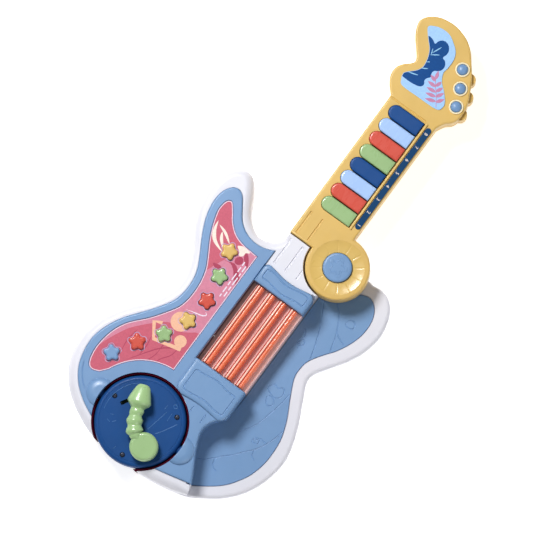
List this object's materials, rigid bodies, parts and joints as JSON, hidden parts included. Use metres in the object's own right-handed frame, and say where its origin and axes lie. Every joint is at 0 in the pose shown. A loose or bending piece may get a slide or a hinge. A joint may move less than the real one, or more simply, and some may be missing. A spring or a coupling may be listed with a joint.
{
  "type": "toy electric guitar",
  "caption": "Folding toy electric guitar: piano keys on the neck, sprung strum bars, star buttons, a flip-over disc with a swinging lever, and a neck that folds over the low deck.",
  "frame": {"origin": "middle of the outer box in X and Y, on the plane of the back, with the neck unfolded", "axes": "+Y along the neck towards the head, +X across the neck towards the low deck, +Z out of the playing face"},
  "size_m": [0.2024, 0.4664, 0.0593],
  "materials": {
    "black": "matt",
    "blue": "satin",
    "board": "lacquered board",
    "green": "satin",
    "maroon": "clear dark red",
    "navy": "satin",
    "orange_clear": "clear tinted",
    "pale_blue": "satin",
    "pink": "printed label, satin",
    "red": "satin",
    "rose_clear": "clear tinted",
    "steel": "plated",
    "white": "satin",
    "yellow": "satin"
  },
  "bodies": {
    "body": {"battery_1": "steel", "battery_2": "steel", "battery_3": "steel", "battery_cover": "white", "body_back_shell": "white", "body_front_shell": "white", "body_label": "pink", "body_screw_1": "steel", "body_screw_2": "steel", "body_screw_3": "steel", "body_screw_4": "steel", "bridge_block": "blue", "deck_panel": "blue", "disc_light_ring": "maroon", "fold_pivot_post": "white", "main_circuit_board": "board", "pivot_retaining_plate": "steel", "pivot_screw": "steel", "speaker": "black", "string_light_cover": "rose_clear", "top_panel": "blue", "trunnion_cradle_left": "white", "trunnion_cradle_right": "white", "upper_string_block": "blue"},
    "neck": {"neck_front_shell": "yellow", "neck_back_shell": "yellow", "key_strip": "navy", "head_label": "pale_blue", "key_circuit_board": "board"},
    "disc": {"disc_front_half": "navy", "disc_back_half": "navy", "disc_circuit_board": "board"},
    "key_1": {"key_1": "green"},
    "key_2": {"key_2": "red"},
    "key_3": {"key_3": "pale_blue"},
    "key_4": {"key_4": "navy"},
    "key_5": {"key_5": "green"},
    "key_6": {"key_6": "red"},
    "key_7": {"key_7": "pale_blue"},
    "key_8": {"key_8": "navy"},
    "head_button_1": {"head_button_1": "blue"},
    "head_button_2": {"head_button_2": "blue"},
    "head_button_3": {"head_button_3": "blue"},
    "hub_button": {"hub_button": "blue"},
    "star_button_1": {"star_button_1": "blue"},
    "star_button_2": {"star_button_2": "red"},
    "star_button_3": {"star_button_3": "green"},
    "star_button_4": {"star_button_4": "yellow"},
    "star_button_5": {"star_button_5": "red"},
    "star_button_6": {"star_button_6": "green"},
    "star_button_7": {"star_button_7": "yellow"},
    "string_1": {"string_1": "orange_clear"},
    "string_2": {"string_2": "orange_clear"},
    "string_3": {"string_3": "orange_clear"},
    "string_4": {"string_4": "orange_clear"},
    "power_switch_knob": {"power_switch_knob": "black"},
    "lever": {"lever": "green"}
  },
  "joints": [
    {"name": "neck_fold", "type": "hinge", "parent": "body", "child": "neck", "pos_m": [0.03923, 0.00853, 0.022], "axis": [0, 0, -1], "range_deg": [0, 176]},
    {"name": "disc_flip", "type": "hinge", "parent": "body", "child": "disc", "pos_m": [-0.01777, -0.19417, 0.0335], "axis": [1, 0, 0], "range_deg": [0, 180]},
    {"name": "lever_swing", "type": "hinge", "parent": "disc", "child": "lever", "pos_m": [-0.00198, -0.20967, 0.042], "axis": [0, 0, 1], "range_deg": [0, 23], "stiffness_Nm_per_rad": 0.05, "springref_deg": -5.73},
    {"name": "key_1_press", "type": "hinge", "parent": "neck", "child": "key_1", "pos_m": [0.02652, 0.04813, 0.0406], "axis": [0, -1, 0], "range_deg": [0, 5], "stiffness_Nm_per_rad": 0.3, "springref_deg": -2.86},
    {"name": "key_2_press", "type": "hinge", "parent": "neck", "child": "key_2", "pos_m": [0.02652, 0.06181, 0.0406], "axis": [0, -1, 0], "range_deg": [0, 5], "stiffness_Nm_per_rad": 0.3, "springref_deg": -2.86},
    {"name": "key_3_press", "type": "hinge", "parent": "neck", "child": "key_3", "pos_m": [0.02652, 0.07549, 0.0406], "axis": [0, -1, 0], "range_deg": [0, 5], "stiffness_Nm_per_rad": 0.3, "springref_deg": -2.86},
    {"name": "key_4_press", "type": "hinge", "parent": "neck", "child": "key_4", "pos_m": [0.02652, 0.08917, 0.0406], "axis": [0, -1, 0], "range_deg": [0, 5], "stiffness_Nm_per_rad": 0.3, "springref_deg": -2.86},
    {"name": "key_5_press", "type": "hinge", "parent": "neck", "child": "key_5", "pos_m": [0.02652, 0.10285, 0.0406], "axis": [0, -1, 0], "range_deg": [0, 5], "stiffness_Nm_per_rad": 0.3, "springref_deg": -2.86},
    {"name": "key_6_press", "type": "hinge", "parent": "neck", "child": "key_6", "pos_m": [0.02652, 0.11653, 0.0406], "axis": [0, -1, 0], "range_deg": [0, 5], "stiffness_Nm_per_rad": 0.3, "springref_deg": -2.86},
    {"name": "key_7_press", "type": "hinge", "parent": "neck", "child": "key_7", "pos_m": [0.02652, 0.13021, 0.0406], "axis": [0, -1, 0], "range_deg": [0, 5], "stiffness_Nm_per_rad": 0.3, "springref_deg": -2.86},
    {"name": "key_8_press", "type": "hinge", "parent": "neck", "child": "key_8", "pos_m": [0.02652, 0.14389, 0.0406], "axis": [0, -1, 0], "range_deg": [0, 5], "stiffness_Nm_per_rad": 0.3, "springref_deg": -2.86},
    {"name": "head_button_1_press", "type": "slide", "parent": "neck", "child": "head_button_1", "axis": [0, 0, -1], "range_m": [0, 0.0012], "stiffness_N_per_m": 600, "springref_m": -0.0008},
    {"name": "head_button_2_press", "type": "slide", "parent": "neck", "child": "head_button_2", "axis": [0, 0, -1], "range_m": [0, 0.0012], "stiffness_N_per_m": 600, "springref_m": -0.0008},
    {"name": "head_button_3_press", "type": "slide", "parent": "neck", "child": "head_button_3", "axis": [0, 0, -1], "range_m": [0, 0.0012], "stiffness_N_per_m": 600, "springref_m": -0.0008},
    {"name": "hub_button_press", "type": "slide", "parent": "neck", "child": "hub_button", "axis": [0, 0, -1], "range_m": [0, 0.0012], "stiffness_N_per_m": 600, "springref_m": -0.0008},
    {"name": "star_button_1_press", "type": "slide", "parent": "body", "child": "star_button_1", "axis": [0, 0, -1], "range_m": [0, 0.0015], "stiffness_N_per_m": 600, "springref_m": -0.0008},
    {"name": "star_button_2_press", "type": "slide", "parent": "body", "child": "star_button_2", "axis": [0, 0, -1], "range_m": [0, 0.0015], "stiffness_N_per_m": 600, "springref_m": -0.0008},
    {"name": "star_button_3_press", "type": "slide", "parent": "body", "child": "star_button_3", "axis": [0, 0, -1], "range_m": [0, 0.0015], "stiffness_N_per_m": 600, "springref_m": -0.0008},
    {"name": "star_button_4_press", "type": "slide", "parent": "body", "child": "star_button_4", "axis": [0, 0, -1], "range_m": [0, 0.0015], "stiffness_N_per_m": 600, "springref_m": -0.0008},
    {"name": "star_button_5_press", "type": "slide", "parent": "body", "child": "star_button_5", "axis": [0, 0, -1], "range_m": [0, 0.0015], "stiffness_N_per_m": 600, "springref_m": -0.0008},
    {"name": "star_button_6_press", "type": "slide", "parent": "body", "child": "star_button_6", "axis": [0, 0, -1], "range_m": [0, 0.0015], "stiffness_N_per_m": 600, "springref_m": -0.0008},
    {"name": "star_button_7_press", "type": "slide", "parent": "body", "child": "star_button_7", "axis": [0, 0, -1], "range_m": [0, 0.0015], "stiffness_N_per_m": 600, "springref_m": -0.0008},
    {"name": "string_1_pluck", "type": "slide", "parent": "body", "child": "string_1", "axis": [1, 0, 0], "range_m": [-0.0015, 0.0015], "stiffness_N_per_m": 600},
    {"name": "string_2_pluck", "type": "slide", "parent": "body", "child": "string_2", "axis": [1, 0, 0], "range_m": [-0.0015, 0.0015], "stiffness_N_per_m": 600},
    {"name": "string_3_pluck", "type": "slide", "parent": "body", "child": "string_3", "axis": [1, 0, 0], "range_m": [-0.0015, 0.0015], "stiffness_N_per_m": 600},
    {"name": "string_4_pluck", "type": "slide", "parent": "body", "child": "string_4", "axis": [1, 0, 0], "range_m": [-0.0015, 0.0015], "stiffness_N_per_m": 600},
    {"name": "power_switch_slide", "type": "slide", "parent": "body", "child": "power_switch_knob", "axis": [0, 1, 0], "range_m": [0, 0.004]}
  ]
}
